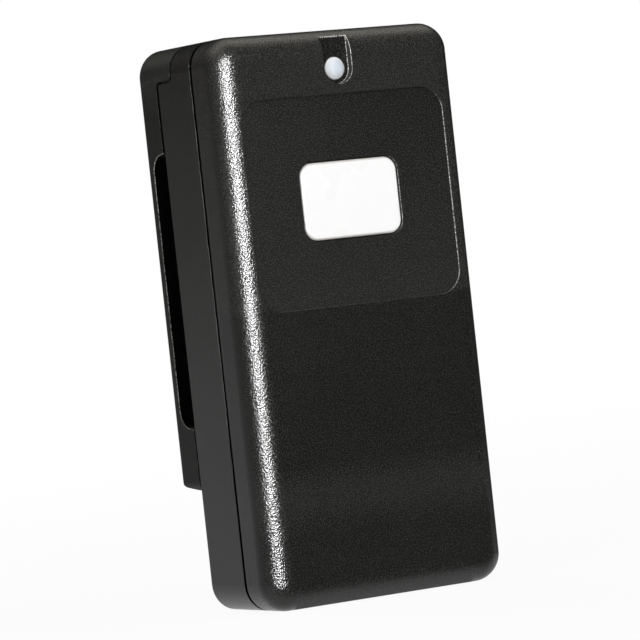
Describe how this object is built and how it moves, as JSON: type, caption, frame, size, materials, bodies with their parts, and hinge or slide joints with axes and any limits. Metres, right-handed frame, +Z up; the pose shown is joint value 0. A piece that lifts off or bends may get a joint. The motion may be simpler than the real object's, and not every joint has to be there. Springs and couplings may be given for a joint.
{
  "type": "staff alarm pendant",
  "caption": "Upright rounded pocket alarm transmitter with a push button, a status light in a top notch and a rear belt clip.",
  "frame": {"origin": "on the ground plane under the middle of the standing object, at the centre of its bounding box's lower face", "axes": "+Z up along the case, the button faces -Y, the belt clip is on the +Y side, +X is the right of a person facing the button"},
  "size_m": [0.044, 0.0258, 0.09],
  "materials": {
    "case_plastic": "black moulded plastic with a fine grain",
    "button_plastic": "smooth white plastic",
    "lens_plastic": "milky clear light pipe",
    "board": "green solder mask",
    "steel": "bright zinc-plated or tinned",
    "component_plastic": "dark moulded plastic",
    "cell": "plain printed sleeve, no lettering",
    "foam": "dark foam",
    "contact_metal": "plated spring brass"
  },
  "bodies": {
    "case": {"front_shell": "case_plastic", "rear_shell": "case_plastic", "belt_clip": "case_plastic", "led_lens": "lens_plastic", "status_led": "button_plastic", "circuit_board": "board", "board_screws": "steel", "case_screws": "steel", "clip_screws": "steel", "switch_housing": "component_plastic", "switch_cover": "steel", "switch_dome": "steel", "controller_chip": "component_plastic", "radio_module": "board", "radio_shield": "steel", "crystal": "steel", "capacitors": "steel", "antenna_loop": "contact_metal", "battery_cell_left": "cell", "battery_cell_right": "cell", "battery_holder": "component_plastic", "battery_pad": "foam", "battery_bridge": "contact_metal", "battery_terminals": "contact_metal", "battery_springs": "contact_metal"},
    "button": {"push_button": "button_plastic", "switch_plunger": "component_plastic"}
  },
  "joints": [
    {"name": "button_press", "type": "slide", "parent": "case", "child": "button", "axis": [0, 1, 0], "range_m": [0, 0.0005], "stiffness_N_per_m": 3000}
  ]
}
